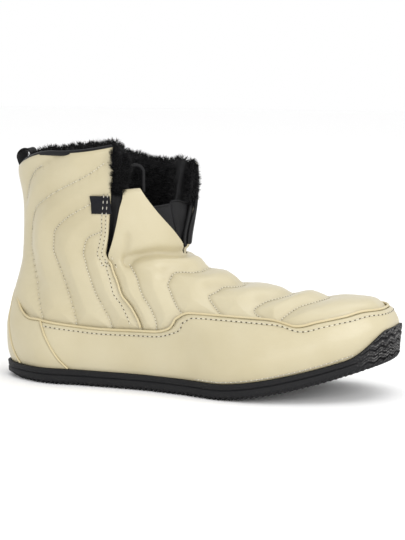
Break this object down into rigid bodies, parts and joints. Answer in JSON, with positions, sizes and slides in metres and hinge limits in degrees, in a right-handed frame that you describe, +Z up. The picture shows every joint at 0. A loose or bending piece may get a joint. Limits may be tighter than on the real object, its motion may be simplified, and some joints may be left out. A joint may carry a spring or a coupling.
{
  "type": "apres ski boot",
  "caption": "Low apres ski boot for the right foot: quilted synthetic leather upper, smooth rand, fur lining, nylon gussets and a thin lugged rubber sole with a toe bumper.",
  "frame": {"origin": "centre of the boot's footprint box, on the floor that the sole stands on", "axes": "+X to the toe, +Z up, -Y to the outer side of the foot"},
  "size_m": [0.2918, 0.1038, 0.1752],
  "materials": {
    "rubber": "matt black rubber",
    "felt": "dark felt",
    "leather": "smooth cream synthetic leather, soft sheen",
    "piping": "cream piping",
    "nylon": "black woven nylon",
    "fur": "black deep pile"
  },
  "bodies": {
    "root": {"outsole": "rubber", "insole": "felt", "upper": "leather", "rand": "leather", "heel_counter_outer": "leather", "heel_counter_inner": "leather", "heel_stay": "leather", "rand_piping": "piping", "vamp_piping_outer": "piping", "vamp_piping_inner": "piping", "gusset_outer": "nylon", "gusset_inner": "nylon", "fur_lining": "fur", "heel_loop": "nylon", "tongue_loop": "nylon", "side_tab": "nylon"}
  },
  "joints": []
}
